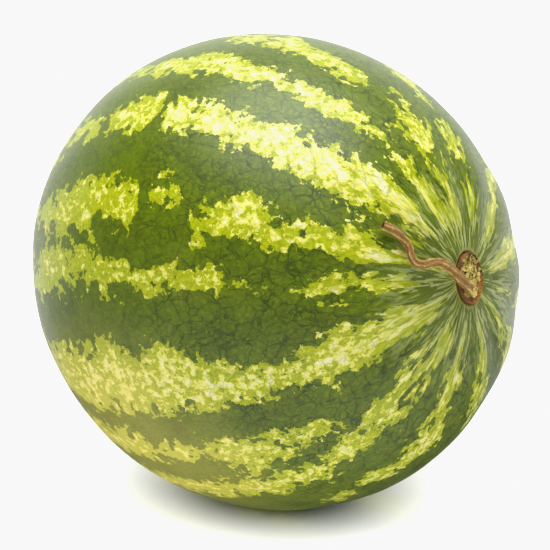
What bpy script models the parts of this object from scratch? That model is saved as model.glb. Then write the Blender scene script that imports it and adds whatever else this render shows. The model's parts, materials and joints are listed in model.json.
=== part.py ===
"""A whole striped watermelon lying on its side, with its corky stem scar and dried, curly stem.

The frame's origin is the centre of the flat spot that the fruit rests on, +Z is up and +X runs
towards the stem end. Everything is first modelled about the fruit's own middle, in its own axes:
x along the stem axis, y to the left of it and z up. An empty then sets the fruit down on its side.
"""

import math

import bmesh
import bpy
from mathutils import Euler, Matrix, Vector

MM = 0.001

# The fruit: lengths in metres, angles in degrees.
HALF_WIDTH = 126.2 * MM  # half the widest width across the stem axis
LENGTH_RATIO = 1.055     # length along the stem axis, over the widest width
BELLY_RATIO = 0.936      # width through the side it grew on, over the widest width
STEM_RISE = 9.4          # how far the stem end is lifted from level
BELLY_TURN = 70.0        # how far the side it grew on is rolled up from the ground, towards -Y
REST_RADIUS = 24.0 * MM  # half the width of the flat spot it rests on

# The dimple, collar and pocket at the stem end, and the dimple at the blossom end.
DIMPLE_DEPTH = 1.6 * MM
DIMPLE_REACH = 22.0 * MM
COLLAR_RISE = 1.2 * MM
COLLAR_RADIUS = 16.0 * MM
COLLAR_REACH = 4.0 * MM
POCKET_DEPTH = 3.4 * MM  # from where the bare oval's tip would be down to the pocket's floor
BLOSSOM_DEPTH = 1.8 * MM
BLOSSOM_REACH = 9.0 * MM

# The scar, a little taller than wide, and the stem.
SCAR_HALF_HEIGHT = 12.6 * MM
SCAR_HALF_WIDTH = 9.8 * MM
SCAR_THICKNESS = 2.4 * MM
SCAR_RIM_RISE = 0.9 * MM
STEM_RADIUS = 2.0 * MM
STEM_RIDGES = 5
STEM_RIDGE_SHARE = 0.10  # height of a ridge over the stem's radius
STEM_TWIST = 1.6         # turns of the ridges from foot to tip

GAP = 0.3 * MM           # between pieces that touch
MERIDIANS = 64
BODY_RINGS = 44
SCAR_SIDES = 48
STEM_SIDES = 15
STEM_RINGS = 90

STEM_TIP_X = HALF_WIDTH * LENGTH_RATIO
POCKET_FLOOR_X = STEM_TIP_X - POCKET_DEPTH
SCAR_TOP_X = POCKET_FLOOR_X + GAP + SCAR_THICKNESS

# The stem's way from the scar to its cut tip, in millimetres:
# out past the oval's tip, aside towards -Y, and up.
STEM_WAY = (
    (-0.4, 1.9, -4.4),
    (1.2, 2.2, -4.2),
    (3.0, 3.8, -3.0),
    (4.0, 6.6, -0.8),
    (4.3, 10.0, 1.9),
    (4.4, 13.3, 4.9),
    (3.6, 17.4, 9.0),
    (2.5, 21.8, 12.0),
    (1.1, 26.4, 12.7),
    (-0.5, 30.4, 12.7),
    (-2.1, 33.6, 14.6),
    (-3.1, 34.9, 18.0),
    (-3.9, 34.9, 22.4),
    (-5.7, 37.3, 26.9),
    (-7.9, 41.2, 30.9),
    (-9.4, 44.3, 33.2),
    (-10.2, 46.3, 34.7),
)
# Its thickness over STEM_RADIUS at evenly spaced stations: a spread foot, then thinner to a blunt tip.
STEM_SWELL = (1.65, 1.42, 1.4, 1.3, 1.05, 0.97, 0.95, 0.88, 0.95, 1.0, 0.95)


def bump(distance, reach):
    """A smooth hill of height 1 that fades out over the reach."""
    return math.exp(-((distance / reach) ** 2))


def smooth_between(values, share):
    """The value a share of the way along evenly spaced numbers or points, on a smooth curve."""
    place = share * (len(values) - 1)
    at = min(int(place), len(values) - 2)
    t = place - at
    p1, p2 = values[at], values[at + 1]
    p0 = values[at - 1] if at > 0 else p1 + (p1 - p2)
    p3 = values[at + 2] if at + 2 < len(values) else p2 + (p2 - p1)
    bend = (p0 * 2 - p1 * 5 + p2 * 4 - p3) * (t * t) + (p1 * 3 - p0 - p2 * 3 + p3) * (t * t * t)
    return (p1 * 2 + (p2 - p0) * t + bend) * 0.5


def scar_radius(longitude):
    """Half width of the oval scar in the direction of a longitude, counted from up towards -Y."""
    return 1 / math.hypot(math.cos(longitude) / SCAR_HALF_HEIGHT, math.sin(longitude) / SCAR_HALF_WIDTH)


def round_axis(x, radius, longitude):
    """A point at a height x on the stem axis and a radius from it."""
    return Vector((x, -radius * math.sin(longitude), radius * math.cos(longitude)))


def body_point(polar, longitude):
    """The point of the outside seen from the middle at an angle from the stem end and a longitude."""
    turn = math.radians(BELLY_TURN)
    belly = Vector((0, -math.sin(turn), -math.cos(turn)))
    flank = Vector((1, 0, 0)).cross(belly)
    way = round_axis(math.cos(polar), math.sin(polar), longitude)
    reach = Vector((way.x / LENGTH_RATIO, way.dot(belly) / BELLY_RATIO, way.dot(flank)))
    point = way * (HALF_WIDTH / reach.length)
    off_axis = math.hypot(point.y, point.z)
    if point.x > 0:
        point.x -= DIMPLE_DEPTH * bump(off_axis, DIMPLE_REACH)
        point.x += COLLAR_RISE * bump(off_axis - COLLAR_RADIUS, COLLAR_REACH)
    else:
        point.x += BLOSSOM_DEPTH * bump(off_axis, BLOSSOM_REACH)
    return point


def skin(name, rings, colour, roughness):
    """An object skinned over rings of points that run from one closed end to the other."""
    mesh = bpy.data.meshes.new(name)
    bm = bmesh.new()
    loops = [[bm.verts.new(point) for point in ring] for ring in rings]
    for a, b in zip(loops, loops[1:]):
        sides = max(len(a), len(b))
        for i in range(sides):
            j = (i + 1) % sides
            corners = [a[i % len(a)], a[j % len(a)], b[j % len(b)], b[i % len(b)]]
            bm.faces.new(dict.fromkeys(corners))
    bmesh.ops.recalc_face_normals(bm, faces=bm.faces)
    bm.to_mesh(mesh)
    bm.free()
    mesh.shade_smooth()
    mesh.set_sharp_from_angle(angle=math.radians(40))
    material = bpy.data.materials.new(name)
    material.use_nodes = True
    shader = material.node_tree.nodes["Principled BSDF"]
    shader.inputs["Base Color"].default_value = (*colour, 1)
    shader.inputs["Roughness"].default_value = roughness
    shader.inputs["Metallic"].default_value = 0
    mesh.materials.append(material)
    item = bpy.data.objects.new(name, mesh)
    bpy.context.scene.collection.objects.link(item)
    return item


def melon():
    """The fruit: pocket, rounded collar, then the body down to the dimple at the blossom end."""
    longitudes = [2 * math.pi * i / MERIDIANS for i in range(MERIDIANS)]
    rings = [[Vector((POCKET_FLOOR_X, 0, 0))]]
    rings.append([round_axis(POCKET_FLOOR_X, scar_radius(a) + GAP, a) for a in longitudes])
    lips = []
    edges = []
    starts = []
    for a in longitudes:
        start = math.asin((scar_radius(a) + 3.2 * MM) / STEM_TIP_X)
        starts.append(start)
        shoulder_x = body_point(start, a).x
        lips.append(round_axis(shoulder_x - 1.6 * MM, scar_radius(a) + 0.7 * MM, a))
        edges.append(round_axis(shoulder_x - 0.3 * MM, scar_radius(a) + 1.6 * MM, a))
    rings.append(lips)
    rings.append(edges)
    for step in range(BODY_RINGS):
        share = step / BODY_RINGS
        rings.append([body_point(s + (math.pi - s) * share, a) for s, a in zip(starts, longitudes)])
    rings.append([body_point(math.pi, 0)])
    return skin("melon", rings, (0.16, 0.29, 0.04), 0.42)


def stem_scar():
    """A turned oval disc on the pocket's floor: flat underneath, with a raised rim and a low middle."""
    longitudes = [2 * math.pi * i / SCAR_SIDES for i in range(SCAR_SIDES)]
    bottom_x = POCKET_FLOOR_X + GAP
    rim_x = SCAR_TOP_X + SCAR_RIM_RISE
    profile = (
        (bottom_x, 0.95),
        (bottom_x + 0.5 * MM, 1.0),
        (rim_x - 0.7 * MM, 1.0),
        (rim_x - 0.1 * MM, 0.95),
        (rim_x, 0.89),
        (rim_x - 0.2 * MM, 0.83),
        (SCAR_TOP_X + 0.1 * MM, 0.76),
        (SCAR_TOP_X, 0.66),
        (SCAR_TOP_X, 0.3),
    )
    rings = [[Vector((bottom_x, 0, 0))]]
    for x, share in profile:
        rings.append([round_axis(x, scar_radius(a) * share, a) for a in longitudes])
    rings.append([Vector((SCAR_TOP_X, 0, 0))])
    return skin("stem_scar", rings, (0.33, 0.14, 0.05), 0.8)


def dried_stem():
    """A thin ridged stem from its foot on the scar, over the collar, in an S to its cut tip."""
    way = [Vector((STEM_TIP_X + out * MM, -aside * MM, up * MM)) for out, aside, up in STEM_WAY]
    way[0].x = SCAR_TOP_X + GAP
    centres = [smooth_between(way, i / (STEM_RINGS - 1)) for i in range(STEM_RINGS)]
    heading = Vector((1, 0, 0))
    side = Vector((0, 0, 1))
    rings = [[centres[0]]]
    for i, centre in enumerate(centres):
        share = i / (STEM_RINGS - 1)
        ahead = heading
        if i > 0:
            ahead = (centres[min(i + 1, STEM_RINGS - 1)] - centres[i - 1]).normalized()
        side = heading.rotation_difference(ahead) @ side
        heading = ahead
        across = heading.cross(side)
        radius = STEM_RADIUS * smooth_between(STEM_SWELL, share)
        ring = []
        for k in range(STEM_SIDES):
            around = 2 * math.pi * k / STEM_SIDES
            ridge = math.cos(STEM_RIDGES * around + 2 * math.pi * STEM_TWIST * share)
            spoke = side * math.cos(around) + across * math.sin(around)
            ring.append(centre + spoke * radius * (1 + STEM_RIDGE_SHARE * ridge))
        rings.append(ring)
    rings.append([centres[-1]])
    return skin("dried_stem", rings, (0.30, 0.16, 0.07), 0.75)


def resting_place():
    """The empty that lays the fruit down, and where its middle is when the flat spot is at the origin."""
    lean = Euler((0, -math.radians(STEM_RISE), 0)).to_matrix()
    turn = math.radians(BELLY_TURN)
    belly = Vector((0, -math.sin(turn), -math.cos(turn)))
    axes = (Vector((1, 0, 0)), belly, Vector((1, 0, 0)).cross(belly))
    sizes = (LENGTH_RATIO, BELLY_RATIO, 1)
    # the oval's support: it reaches down by drop.z, at the point below its middle given by drop
    drop = Vector((0, 0, 0))
    for axis, size in zip(axes, sizes):
        axis = lean @ axis
        drop += axis * axis.z * (size * HALF_WIDTH) ** 2
    drop /= math.sqrt(drop.z)
    share = math.sqrt(1 - (REST_RADIUS / HALF_WIDTH) ** 2)
    place = bpy.data.objects.new("resting_place", None)
    place.matrix_world = Matrix.Translation(drop * share) @ lean.to_4x4()
    bpy.context.scene.collection.objects.link(place)
    return place


def cut_flat_spot(fruit):
    """Cuts the fruit off level at the ground, which leaves the flat spot it rests on."""
    half = 2 * HALF_WIDTH
    mesh = bpy.data.meshes.new("ground_cutter")
    bm = bmesh.new()
    bmesh.ops.create_cube(bm, size=2 * half, matrix=Matrix.Translation((0, 0, -half)))
    bm.to_mesh(mesh)
    bm.free()
    cutter = bpy.data.objects.new("ground_cutter", mesh)
    cutter.hide_render = True
    cutter.display_type = "WIRE"
    bpy.context.scene.collection.objects.link(cutter)
    cut = fruit.modifiers.new("flat spot", "BOOLEAN")
    cut.operation = "DIFFERENCE"
    cut.solver = "EXACT"
    cut.object = cutter


for old in list(bpy.data.objects):
    bpy.data.objects.remove(old)

fruit_pieces = [melon(), stem_scar(), dried_stem()]
fruit_place = resting_place()
for piece in fruit_pieces:
    piece.parent = fruit_place
cut_flat_spot(fruit_pieces[0])
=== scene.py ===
"""Builds the finished look of a whole striped watermelon around its solids.

The fruit is grown about its own middle in its own axes, x along the stem axis, y to the left of it
and z up, and is then laid down where the solids rest. Polar angles count from the stem end, and
longitudes from the fruit's top towards -Y.
"""

import json
import math

import bmesh
import bpy
import numpy as np
from bpy.props import FloatProperty, FloatVectorProperty, IntProperty, PointerProperty
from mathutils import Euler, Matrix, Vector, noise

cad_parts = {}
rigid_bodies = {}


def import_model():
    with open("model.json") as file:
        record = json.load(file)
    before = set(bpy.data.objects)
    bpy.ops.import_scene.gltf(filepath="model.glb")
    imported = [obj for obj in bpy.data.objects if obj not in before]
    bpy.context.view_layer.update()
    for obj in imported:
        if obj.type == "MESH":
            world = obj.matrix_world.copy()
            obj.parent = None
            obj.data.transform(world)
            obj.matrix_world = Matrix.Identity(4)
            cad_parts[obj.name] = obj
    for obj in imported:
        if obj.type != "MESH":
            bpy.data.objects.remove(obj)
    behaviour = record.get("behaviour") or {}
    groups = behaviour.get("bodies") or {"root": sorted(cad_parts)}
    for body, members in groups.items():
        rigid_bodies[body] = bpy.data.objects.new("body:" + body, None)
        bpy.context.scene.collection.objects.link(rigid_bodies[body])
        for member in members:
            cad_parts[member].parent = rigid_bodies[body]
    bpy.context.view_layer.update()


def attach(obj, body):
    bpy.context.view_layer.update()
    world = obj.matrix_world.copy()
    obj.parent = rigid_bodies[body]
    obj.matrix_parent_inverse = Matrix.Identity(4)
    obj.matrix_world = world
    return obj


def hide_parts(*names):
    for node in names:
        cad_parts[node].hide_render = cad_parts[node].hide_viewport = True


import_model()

bl_info = {
    "name": "Striped watermelon",
    "version": (1, 0, 0),
    "blender": (4, 5, 0),
    "location": "3D View > Sidebar > Watermelon",
    "description": "Grows the rind, the stem scar and the dried stem of a whole watermelon",
    "category": "Add Mesh",
}

MM = 0.001

MATH = "ShaderNodeMath"
VECTOR_MATH = "ShaderNodeVectorMath"
RANGE = "ShaderNodeMapRange"
MIX = "ShaderNodeMix"
NOISE = "ShaderNodeTexNoise"
CELLS = "ShaderNodeTexVoronoi"
ATTRIBUTE = "ShaderNodeAttribute"
SOFT = "SMOOTHSTEP"
SOFTER = "SMOOTHERSTEP"

# Soft flutes around the stem end, and the middle of the side it grew on, as polar angle and longitude.
FLUTES = 11.0
GROUND_SIDE = (100, 131)

# How bright the floor comes out, as a share of full white.
PAPER_WHITE = 0.94

# The light stripes from the stem end to the blossom end, as stations of polar angle, longitude and
# half width in degrees. A half width below zero is a gap between two patches of one stripe.
STRIPES = (
    ((9, -53, 4), (20, -53, 5), (28, -53, 5), (40, -52, 4), (48, -52, -3), (58, -50, 5),
     (75, -50, 6), (92, -52, 5), (98, -52, -2), (108, -50, 5), (150, -52, 7), (170, -52, 9)),
    ((9, -23, 3), (18, -23, 5), (23, -23, 4), (27, -23, 5), (37, -23, 4), (40, -22, -1),
     (43, -21, 5), (56, -21, 5), (62, -21, -3), (70, -20, 5), (88, -19, 6), (96, -19, 3),
     (106, -20, 6), (125, -21, 5), (145, -22, 7), (170, -23, 9)),
    ((9, -3, 4), (14, -2, 6), (20, -3, 6), (22, -4, 7), (31, -3, 7.5), (40, -4, 6), (46, -6, 2),
     (48, 3, 3), (53, 4, 4), (60, 4, 5), (72, 5, 6), (86, 5, 5), (95, 6, -1), (100, 6, 5),
     (115, 5, 6), (135, 3, 6), (150, 0, 7), (170, -2, 9)),
    ((9, 16, 3), (15, 16, 4), (20, 15.5, 4.5), (27, 15.5, 4.5), (31, 16.5, 4), (37, 17, 3.5),
     (45, 18.5, 3), (50, 20, 3.5), (58, 21.5, 3.7), (68, 22, 3.7), (78, 22.5, 4), (90, 25, 5),
     (100, 25, 3), (112, 24, 5), (130, 22, 5), (150, 20, 7), (170, 18, 9)),
    ((9, 37, 6), (15, 38, 7.5), (30, 38.5, 7.5), (42, 39.5, 6.5), (54, 40, 6), (57, 41, 5),
     (68, 41, 5), (78, 40.5, 5.5), (80.5, 40, 0), (83, 41, 6), (92, 41.5, 6), (98, 42, 4),
     (106, 43, 4), (116, 43, 5), (135, 42, 6), (150, 41, 7), (170, 40, 9)),
    ((14, 66, 1), (22, 68, 5), (28, 64, 6.5), (33, 65, 6.5), (38, 65.5, 4.5), (46, 66, 6),
     (49, 64.5, 6.5), (53, 63, 6), (58, 67, 3.5), (63, 67.5, 3.5), (65, 62, -2), (68, 60, 3),
     (74, 59.5, 3.5), (76.5, 62, -2), (79, 64, 7), (86, 63.5, 6.5), (90, 63, 6), (95, 64, 8),
     (104, 65, 8), (118, 64, 7), (135, 63, 6), (150, 62, 7), (170, 62, 9)),
    ((9, 83, 5), (14, 82.5, 6), (20, 82, 6), (28, 82.5, 6), (35, 84, 4), (39, 84, 2.5),
     (43, 83, -2.5), (50, 82.5, 0), (57, 81.5, 3.5), (65, 81, 4), (75, 81, 4), (88, 80, 4.5),
     (91, 77, 7), (96, 79, 6), (105, 78, 8), (118, 80, 7), (135, 82, 6), (150, 82, 7), (170, 82, 9)),
    ((9, 111, 8), (15, 112, 10.5), (23, 111, 12), (32, 110.5, 11.5), (37, 112, 9), (41, 110.5, 6),
     (50, 110, 6.5), (58, 109.5, 7), (64, 107, 9), (72, 106, 9.5), (82, 105.5, 9.5), (92, 105, 10),
     (105, 107, 10), (118, 107, 8), (135, 106, 7), (150, 105, 8), (170, 104, 10)),
    ((37, 134, -4), (41, 134.5, 3.5), (46, 133, 4.5), (55, 132.5, 5), (66, 131, 6), (72, 129, 4),
     (82, 128, 3.2), (90, 127.5, 3.5), (97, 126, 7), (110, 127, 6), (150, 128, 7), (170, 127, 9)),
    ((9, 146, 8), (14, 146, 10), (22, 143, 8), (25, 144, 9), (34, 146, 9), (39, 148, 6),
     (45, 148, 4.5), (55, 148, 6.5), (63, 146, 5.5), (72, 144.5, 5.5), (85, 144, 6), (98, 144, 7),
     (115, 146, 6), (135, 147, 6), (150, 148, 7), (170, 148, 9)),
    ((9, 174, 5), (18, 174, 6), (30, 175, 7.5), (40, 174.5, 7.5), (46, 171, 5), (53, 167.5, 4.5),
     (57, 166, -1), (61, 165.5, 4.5), (66, 166, 4.5), (70, 167, -2), (78, 168, 4), (95, 169, 6),
     (110, 169, 4), (125, 170, 6), (150, 171, 7), (170, 171, 9)),
    ((9, 201, 5), (22, 201, 7), (38, 199, 6), (46, 197, -1), (52, 196, 5), (70, 195, 6),
     (90, 194, 5), (97, 194, -2), (104, 194, 5), (150, 195, 7), (170, 195, 9)),
    ((9, 226, 4), (24, 225, 6), (36, 224, 4), (41, 223, -2), (48, 222, 5), (66, 221, 6),
     (84, 220, 6), (90, 220, 1), (100, 219, 6), (150, 219, 7), (170, 218, 9)),
    ((9, 250, 4), (20, 249, 5), (34, 248, 6), (52, 248, 5), (60, 247, -2), (66, 246, 5),
     (88, 245, 6), (108, 245, 5), (114, 245, 0), (124, 244, 6), (150, 243, 7), (170, 242, 9)),
    ((9, 278, 5), (20, 277, 6), (30, 276, 6), (48, 274, 5), (64, 273, 6), (76, 272, 2),
     (82, 271, 6), (104, 270, 6), (112, 270, -1), (118, 270, 5), (150, 268, 7), (170, 266, 9)),
)

# The stem's way from the scar to its cut tip, in millimetres:
# out past the oval's tip, aside towards -Y, and up.
STEM_WAY = (
    (-0.4, 1.9, -4.4), (1.2, 2.2, -4.2), (3.0, 3.8, -3.0), (4.0, 6.6, -0.8), (4.3, 10.0, 1.9),
    (4.4, 13.3, 4.9), (3.6, 17.4, 9.0), (2.5, 21.8, 12.0), (1.1, 26.4, 12.7), (-0.5, 30.4, 12.7),
    (-2.1, 33.6, 14.6), (-3.1, 34.9, 18.0), (-3.9, 34.9, 22.4), (-5.7, 37.3, 26.9),
    (-7.9, 41.2, 30.9), (-9.4, 44.3, 33.2), (-10.2, 46.3, 34.7),
)
# Its thickness over the stem's radius at evenly spaced stations from foot to tip.
STEM_SWELL = (1.12, 1.14, 1.18, 1.14, 1.02, 0.95, 0.94, 0.88, 0.95, 0.98, 0.66)

# Pits of the torn scar, in millimetres from its middle: +Y, up, half width, half height and depth.
# The first is the bright one.
SCAR_PITS = (
    (-1.2, 7.6, 1.7, 2.4, 1.3), (3.4, 6.2, 0.6, 1.0, 1.2), (1.6, 1.4, 0.6, 0.7, 1.4),
    (-3.8, 3.4, 0.9, 0.7, 1.4), (4.4, 0.4, 0.6, 1.2, 1.2), (-4.2, -5.6, 1.4, 1.1, 1.7),
    (3.8, -5.0, 0.7, 1.1, 1.1),
)


def linear(code):
    """A linear colour from an sRGB hex value."""
    shares = [int(code[i:i + 2], 16) / 255 for i in (1, 3, 5)]
    return tuple(s / 12.92 if s <= 0.04045 else ((s + 0.055) / 1.055) ** 2.4 for s in shares) + (1.0,)


class FruitShape(bpy.types.PropertyGroup):
    """Sizes of the fruit and of its two ends."""

    half_width: FloatProperty(
        name="Half width", description="Half the widest width across the stem axis",
        default=0.1262, unit="LENGTH")
    length_ratio: FloatProperty(
        name="Length ratio", description="Length along the stem axis over the widest width", default=1.055)
    belly_ratio: FloatProperty(
        name="Belly ratio", description="Width through the side it grew on over the widest width",
        default=0.936)
    stem_rise: FloatProperty(
        name="Stem rise", description="How far the stem end is lifted from level",
        default=math.radians(9.4), subtype="ANGLE")
    belly_turn: FloatProperty(
        name="Belly turn", description="How far the side it grew on is rolled up from the ground",
        default=math.radians(70), subtype="ANGLE")
    rest_radius: FloatProperty(
        name="Rest radius", description="Half the width of the flat spot it rests on",
        default=0.024, unit="LENGTH")
    scar_thickness: FloatProperty(
        name="Scar thickness", description="Thickness of the corky stem scar",
        default=0.0024, unit="LENGTH")
    scar_aside: FloatProperty(
        name="Scar aside", description="How far the scar's middle lies aside from the stem axis",
        default=0.0024, unit="LENGTH")
    scar_height: FloatProperty(
        name="Scar half height", description="Half height of the oval stem scar",
        default=0.0126, unit="LENGTH")
    scar_width: FloatProperty(
        name="Scar half width", description="Half width of the oval stem scar",
        default=0.0085, unit="LENGTH")
    pocket_depth: FloatProperty(
        name="Pocket depth", description="From the bare oval's tip down to the floor under the scar",
        default=0.0029, unit="LENGTH")
    flute_depth: FloatProperty(
        name="Flute depth", description="Depth of the soft flutes that spread from the stem end",
        default=0.0006, unit="LENGTH")
    lump_height: FloatProperty(
        name="Lump height", description="Height of the broad unevenness of the grown surface",
        default=0.0006, unit="LENGTH")


class RindLook(bpy.types.PropertyGroup):
    """Colours and grain of the rind."""

    deep_green: FloatVectorProperty(
        name="Deep green", description="Darkest ground of the dark bands",
        subtype="COLOR", size=4, default=linear("#3E4C06"))
    leaf_green: FloatVectorProperty(
        name="Leaf green", description="Brighter ground of the dark bands beside the patches",
        subtype="COLOR", size=4, default=linear("#4C5E00"))
    vein_green: FloatVectorProperty(
        name="Vein green", description="Fine net of dark veins",
        subtype="COLOR", size=4, default=linear("#2C3A06"))
    lime: FloatVectorProperty(
        name="Lime", description="Bright rims and crumbs of the light patches",
        subtype="COLOR", size=4, default=linear("#A6AC00"))
    cream: FloatVectorProperty(
        name="Cream", description="Pale crumbs in the middle of the light patches",
        subtype="COLOR", size=4, default=linear("#CCCA9C"))
    straw: FloatVectorProperty(
        name="Straw", description="Yellow of the side it grew on",
        subtype="COLOR", size=4, default=linear("#E0D070"))
    crumb_size: FloatProperty(
        name="Crumb size", description="Width of one crumb of the mottled patches in millimetres",
        default=1.3)
    vein_size: FloatProperty(
        name="Vein spacing", description="Width of one mesh of the vein net in millimetres", default=7.0)


class StemLook(bpy.types.PropertyGroup):
    """Size and ridges of the dried stem."""

    radius: FloatProperty(
        name="Radius", description="Radius of the stem's thin stretch", default=0.002, unit="LENGTH")
    ridges: IntProperty(name="Ridges", description="Ridges around the stem", default=5)
    ridge_share: FloatProperty(
        name="Ridge height", description="Height of a ridge over the radius", default=0.16)
    twist: FloatProperty(
        name="Twist", description="How far the ridges turn from foot to tip",
        default=math.radians(576), subtype="ANGLE")


class StageLook(bpy.types.PropertyGroup):
    """Floor, light and camera."""

    floor: FloatVectorProperty(
        name="Floor", description="Colour of the floor", subtype="COLOR", size=4, default=linear("#F8F8F8"))
    overhead: FloatProperty(
        name="Overhead light", description="Strength of the broad light above the fruit", default=6.8)
    floor_light: FloatProperty(
        name="Floor light", description="Strength of each broad light that the floor alone takes",
        default=0.86)
    spread: FloatProperty(
        name="Spread", description="Width of the broad light above, seen from the fruit",
        default=math.radians(60), subtype="ANGLE")
    back_wall: FloatProperty(
        name="Back wall", description="Brightness of the room behind the fruit", default=1.8)
    near_wall: FloatProperty(
        name="Near wall", description="Brightness of the room on the camera's side", default=0.02)
    floor_glow: FloatProperty(
        name="Floor glow", description="Brightness of the floor in the fruit's shine", default=1.2)
    azimuth: FloatProperty(
        name="Azimuth", description="Where the camera stands around the fruit",
        default=math.radians(44.9), subtype="ANGLE")
    elevation: FloatProperty(
        name="Elevation", description="How far the camera looks down", default=math.radians(15),
        subtype="ANGLE")


class WatermelonSettings(bpy.types.PropertyGroup):
    """All that a user would change."""

    fruit: PointerProperty(type=FruitShape)
    rind: PointerProperty(type=RindLook)
    stem: PointerProperty(type=StemLook)
    stage: PointerProperty(type=StageLook)


def add(tree, kind, links=None, **settings):
    """Adds a node with its settings, and links or sets its sockets by name or place."""
    node = tree.nodes.new(kind)
    for name, value in settings.items():
        setattr(node, name, value)
    for key, value in (links or {}).items():
        if isinstance(value, bpy.types.NodeSocket):
            tree.links.new(value, node.inputs[key])
        else:
            node.inputs[key].default_value = value
    return node


def maths(tree, operation, *values):
    """One arithmetic step."""
    return add(tree, MATH, dict(enumerate(values)), operation=operation).outputs[0]


def vectors(tree, operation, *values):
    """One arithmetic step with vectors."""
    return add(tree, VECTOR_MATH, dict(enumerate(values)), operation=operation).outputs[0]


def scaled(tree, vector, size):
    """A vector made this many times as long."""
    return add(tree, VECTOR_MATH, {0: vector, "Scale": size}, operation="SCALE").outputs[0]


def length(tree, vector):
    """How long a vector is."""
    return add(tree, VECTOR_MATH, {0: vector}, operation="LENGTH").outputs["Value"]


def ramp(tree, value, start, end, low=0.0, high=1.0, run="LINEAR"):
    """A value run from start..end to low..high, held at both ends."""
    spans = {"Value": value, "From Min": start, "From Max": end, "To Min": low, "To Max": high}
    return add(tree, RANGE, spans, interpolation_type=run).outputs[0]


def grains(tree, place, size, detail=2.0, roughness=0.55):
    """Noise from 0 to 1 whose largest specks are about this size."""
    sizes = {"Vector": place, "Scale": 1 / size, "Detail": detail, "Roughness": roughness}
    return add(tree, NOISE, sizes).outputs[0]


def warped(tree, place, size, reach, detail=2.0):
    """A place pushed about by noise of this size, as far as this reach."""
    sizes = {"Vector": place, "Scale": 1 / size, "Detail": detail, "Roughness": 0.6}
    push = add(tree, NOISE, sizes).outputs[1]
    centred = vectors(tree, "SUBTRACT", push, (0.5, 0.5, 0.5))
    return vectors(tree, "ADD", place, scaled(tree, centred, reach))


def cells(tree, place, size, feature="F1"):
    """The outputs of a pattern of uneven cells of about this size."""
    sizes = {"Vector": place, "Scale": 1 / size, "Randomness": 1.0}
    return add(tree, CELLS, sizes, feature=feature).outputs


def blend(tree, share, first, second):
    """One colour laid over another."""
    return add(tree, MIX, {0: share, 6: first, 7: second}, data_type="RGBA").outputs[2]


def mark(tree, name, output="Fac"):
    """A mark that the mesh carries, as a material reads it."""
    return add(tree, ATTRIBUTE, attribute_name=name).outputs[output]


def kept(tree, name, kind="FLOAT"):
    """A value kept earlier for each point of a growing shape."""
    return add(tree, "GeometryNodeInputNamedAttribute", {"Name": name}, data_type=kind).outputs[0]


def keep(tree, shape, name, value, kind="FLOAT"):
    """The shape, with a value kept under this name for each of its points."""
    wanted = {"Geometry": shape, "Name": name, "Value": value}
    return add(tree, "GeometryNodeStoreNamedAttribute", wanted, data_type=kind, domain="POINT").outputs[0]


def ask_for(tree, kind, *names):
    """Gives a geometry tree inputs of one kind."""
    for name in names:
        tree.interface.new_socket(name=name, in_out="INPUT", socket_type=f"NodeSocket{kind}")


def hand_over(tree, shape, material):
    """Ends a geometry tree: a smooth, real mesh in its material."""
    smooth = add(tree, "GeometryNodeSetShadeSmooth", {"Geometry": shape}).outputs[0]
    real = add(tree, "GeometryNodeRealizeInstances", {0: smooth}).outputs[0]
    painted = add(tree, "GeometryNodeSetMaterial", {"Geometry": real, "Material": material}).outputs[0]
    add(tree, "NodeGroupOutput", {0: painted})


def new_material(name, **finish):
    """An empty material and its shader, with the finish set on the shader's own sockets."""
    material = bpy.data.materials.new(name)
    material.use_nodes = True
    tree = material.node_tree
    tree.nodes.clear()
    shader = add(tree, "ShaderNodeBsdfPrincipled")
    for socket, value in finish.items():
        shader.inputs[socket.replace("_", " ")].default_value = value
    add(tree, "ShaderNodeOutputMaterial", {"Surface": shader.outputs[0]})
    return material, tree, shader


def roughen(tree, shader, height, strength, depth):
    """Gives a shader a bumpy surface whose bumps are this many millimetres deep."""
    bump = add(tree, "ShaderNodeBump", {"Height": height, "Strength": strength, "Distance": depth * MM})
    tree.links.new(bump.outputs[0], shader.inputs["Normal"])


def grow(name, tree, sizes, start=None):
    """The plain mesh that a geometry tree makes with these sizes, from an empty or a starting object."""
    holder = start or bpy.data.objects.new(name, bpy.data.meshes.new(name))
    bpy.context.scene.collection.objects.link(holder)
    modifier = holder.modifiers.new(name, "NODES")
    modifier.node_group = tree
    for item in tree.interface.items_tree:
        if item.in_out == "INPUT" and item.name in sizes:
            modifier[item.identifier] = sizes[item.name]
    evaluated = holder.evaluated_get(bpy.context.evaluated_depsgraph_get())
    mesh = bpy.data.meshes.new_from_object(evaluated)
    holder.modifiers.remove(modifier)
    bpy.data.objects.remove(holder)
    mesh.name = name
    return mesh


def finish_piece(name, mesh, slot, *stands_for):
    """Links a finished mesh as a piece of the one body."""
    piece = bpy.data.objects.new(name, mesh)
    bpy.context.scene.collection.objects.link(piece)
    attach(piece, "root")
    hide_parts(*stands_for)
    return piece


def resting_place(fruit):
    """Where the fruit lies: its lean, and its middle above the flat spot at the frame's origin."""
    lean = Euler((0, -fruit.stem_rise, 0)).to_matrix()
    belly = Vector((0, -math.sin(fruit.belly_turn), -math.cos(fruit.belly_turn)))
    axes = (Vector((1, 0, 0)), belly, Vector((1, 0, 0)).cross(belly))
    drop = Vector((0, 0, 0))
    for axis, size in zip(axes, (fruit.length_ratio, fruit.belly_ratio, 1)):
        axis = lean @ axis
        drop += axis * axis.z * (size * fruit.half_width) ** 2
    drop /= math.sqrt(drop.z)
    share = math.sqrt(1 - (fruit.rest_radius / fruit.half_width) ** 2)
    return Matrix.Translation(drop * share) @ lean.to_4x4()


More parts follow.
